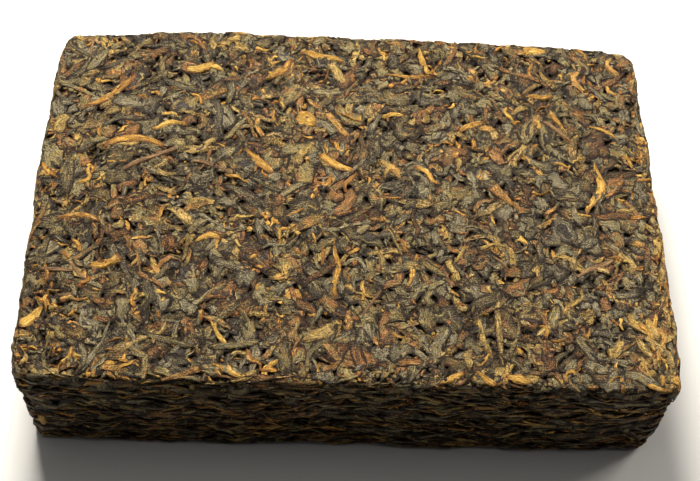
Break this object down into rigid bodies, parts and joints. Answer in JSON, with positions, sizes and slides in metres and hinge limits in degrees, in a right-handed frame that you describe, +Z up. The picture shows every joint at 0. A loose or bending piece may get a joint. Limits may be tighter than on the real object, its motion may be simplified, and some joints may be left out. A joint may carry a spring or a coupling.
{
  "type": "pu erh tea brick",
  "caption": "Rectangular brick of compressed dark fermented tea leaves with golden buds and stalks, pressed flat on top and below, with ragged rounded edges.",
  "frame": {"origin": "centre of the flat underside, on the surface that the brick lies on", "axes": "+X along the long side, +Y along the width towards the back, +Z up through the thickness"},
  "size_m": [0.14, 0.097, 0.03],
  "materials": {
    "pressed_tea": "matte, rough, dry pressed leaves",
    "dark_leaf": "matte charcoal brown leaf with a faint sheen",
    "tawny_leaf": "matte olive to tawny leaf",
    "golden_bud": "matte golden to orange bud and leaf tip",
    "stalk": "matte red brown stalk with long grain"
  },
  "bodies": {
    "root": {"tea_brick": "pressed_tea"}
  },
  "joints": []
}
